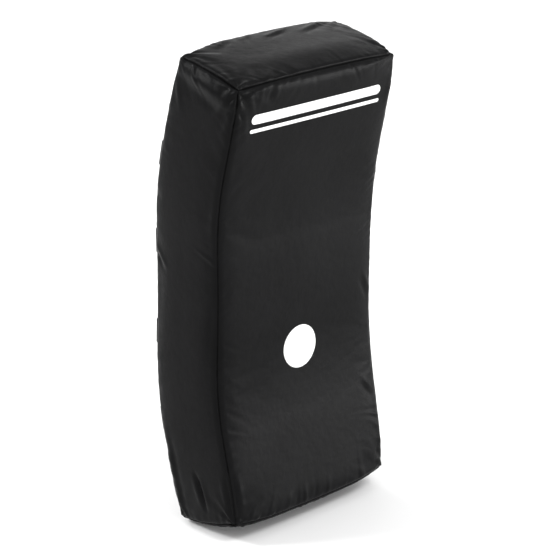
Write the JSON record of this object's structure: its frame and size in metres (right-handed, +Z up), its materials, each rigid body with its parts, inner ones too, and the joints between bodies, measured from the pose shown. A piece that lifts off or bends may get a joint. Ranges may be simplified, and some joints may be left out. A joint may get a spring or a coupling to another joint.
{
  "type": "punch pad",
  "caption": "Curved foam punch and kick pad in a sewn coated-nylon cover, with arm straps, grips and a zip on its back.",
  "frame": {"origin": "centre of the back panel's outer surface, between the two rows of fittings", "axes": "+Z up along the pad's height, +Y out of its back, so the hollow strike face looks towards -Y"},
  "size_m": [0.3548, 0.2672, 0.7836],
  "materials": {
    "cover_nylon": "satin",
    "webbing": "matte",
    "firm_foam": "matte",
    "soft_foam": "matte",
    "white_print": "satin",
    "zip_tape": "matte",
    "zip_teeth": "satin",
    "zip_metal": "satin",
    "loop_tape": "matte",
    "hook_tape": "satin",
    "grip_rubber": "matte"
  },
  "bodies": {
    "pad": {"front_panel": "cover_nylon", "back_panel": "cover_nylon", "back_hem": "cover_nylon", "left_side_panel": "cover_nylon", "right_side_panel": "cover_nylon", "top_panel": "cover_nylon", "bottom_panel": "cover_nylon", "front_foam_layer": "firm_foam", "core_foam_block": "soft_foam", "back_foam_layer": "firm_foam", "aiming_dot": "white_print", "mark_stripe_wide": "white_print", "mark_stripe_narrow": "white_print", "upper_row_upper_band": "webbing", "upper_row_lower_band": "webbing", "lower_row_upper_band": "webbing", "lower_row_lower_band": "webbing", "zip_upper_tape": "zip_tape", "zip_lower_tape": "zip_tape", "zip_upper_teeth": "zip_teeth", "zip_lower_teeth": "zip_teeth", "zip_left_stop": "zip_metal", "zip_right_stop": "zip_metal", "upper_arm_strap": "webbing", "upper_arm_strap_anchor": "webbing", "upper_loop_pad": "loop_tape", "upper_grip_strap": "webbing", "upper_grip_sleeve": "grip_rubber", "lower_arm_strap": "webbing", "lower_arm_strap_anchor": "webbing", "lower_loop_pad": "loop_tape", "lower_grip_strap": "webbing", "lower_grip_sleeve": "grip_rubber"},
    "slider": {"zip_slider": "zip_metal"},
    "pull": {"zip_pull_tab": "zip_metal"},
    "upper_flap": {"upper_arm_strap_flap": "webbing", "upper_hook_pad": "hook_tape"},
    "lower_flap": {"lower_arm_strap_flap": "webbing", "lower_hook_pad": "hook_tape"}
  },
  "joints": [
    {"name": "zip_slide", "type": "slide", "parent": "pad", "child": "slider", "axis": [-1, 0, 0], "range_m": [0, 0.2938]},
    {"name": "pull_swing", "type": "hinge", "parent": "slider", "child": "pull", "pos_m": [0.1469, -0.03029, -0.31777], "axis": [0, -0.2164, -0.9763], "range_deg": [0, 170]},
    {"name": "upper_flap_hinge", "type": "hinge", "parent": "pad", "child": "upper_flap", "pos_m": [-0.068, -0.00867, 0.21458], "axis": [1, 0, 0], "range_deg": [0, 95]},
    {"name": "lower_flap_hinge", "type": "hinge", "parent": "pad", "child": "lower_flap", "pos_m": [0.068, 0.00328, -0.08532], "axis": [1, 0, 0], "range_deg": [0, 95]}
  ]
}
